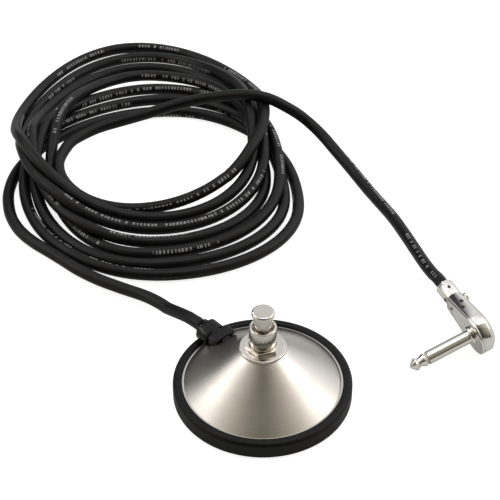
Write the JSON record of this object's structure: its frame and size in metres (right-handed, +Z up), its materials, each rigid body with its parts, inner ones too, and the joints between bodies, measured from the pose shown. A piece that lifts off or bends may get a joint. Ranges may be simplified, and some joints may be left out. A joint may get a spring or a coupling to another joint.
{
  "type": "foot switch with lead",
  "caption": "One-button foot switch: satin metal cone in a rubber ring, sprung push button on top, coiled black lead, right-angle jack plug.",
  "frame": {"origin": "centre of the rubber ring's resting face, on the floor, on the cone's axis", "axes": "+Z up along the cone's and the button's axis; +Y towards the side where the lead leaves; +X to the right when looking along +Y"},
  "size_m": [0.207, 0.3178, 0.049],
  "materials": {
    "ring_rubber": "matte",
    "satin_nickel": "satin spun nickel plate",
    "bright_nickel": "polished nickel plate",
    "plain_steel": "zinc plated",
    "contact_brass": "plain",
    "phenolic": "pressed board",
    "relief_plastic": "gloss moulded",
    "jacket_rubber": "matte",
    "wire_black": "plain",
    "wire_white": "plain",
    "solder": "satin",
    "plug_plastic": "moulded"
  },
  "bodies": {
    "foot_switch": {"rubber_base_ring": "ring_rubber", "cone_housing": "satin_nickel", "bottom_plate": "plain_steel", "dress_washer": "bright_nickel", "upper_nut": "bright_nickel", "lock_washer": "plain_steel", "inner_nut": "bright_nickel", "switch_bushing": "bright_nickel", "switch_can": "plain_steel", "terminal_board": "phenolic", "terminal_left": "contact_brass", "terminal_right": "contact_brass", "return_spring": "plain_steel", "strain_relief_body": "relief_plastic", "strain_relief_clamp": "relief_plastic", "strain_relief_lock": "relief_plastic", "cable_end": "jacket_rubber", "conductor_black": "wire_black", "conductor_white": "wire_white", "solder_joints": "solder", "cable_lead": "jacket_rubber", "cable_coil": "jacket_rubber", "cable_plug_lead": "jacket_rubber", "plug_neck_clamp": "bright_nickel", "plug_shell": "bright_nickel", "plug_base_plate": "bright_nickel", "plug_collar": "bright_nickel", "plug_sleeve": "bright_nickel", "plug_insulator": "plug_plastic", "plug_tip": "bright_nickel", "plug_insulating_washer": "phenolic", "plug_tip_lug": "contact_brass", "plug_screw": "bright_nickel", "plug_cable_end": "jacket_rubber", "plug_conductor_tip": "wire_white", "plug_conductor_sleeve": "wire_black"},
    "button": {"push_button": "bright_nickel", "retaining_ring": "plain_steel", "contact_carrier": "phenolic", "contact_bridge": "contact_brass"}
  },
  "joints": [
    {"name": "button_press", "type": "slide", "parent": "foot_switch", "child": "button", "axis": [0, 0, 1], "range_m": [-0.0045, 0], "stiffness_N_per_m": 700, "springref_m": 0.004, "deforming": ["return_spring"]}
  ]
}
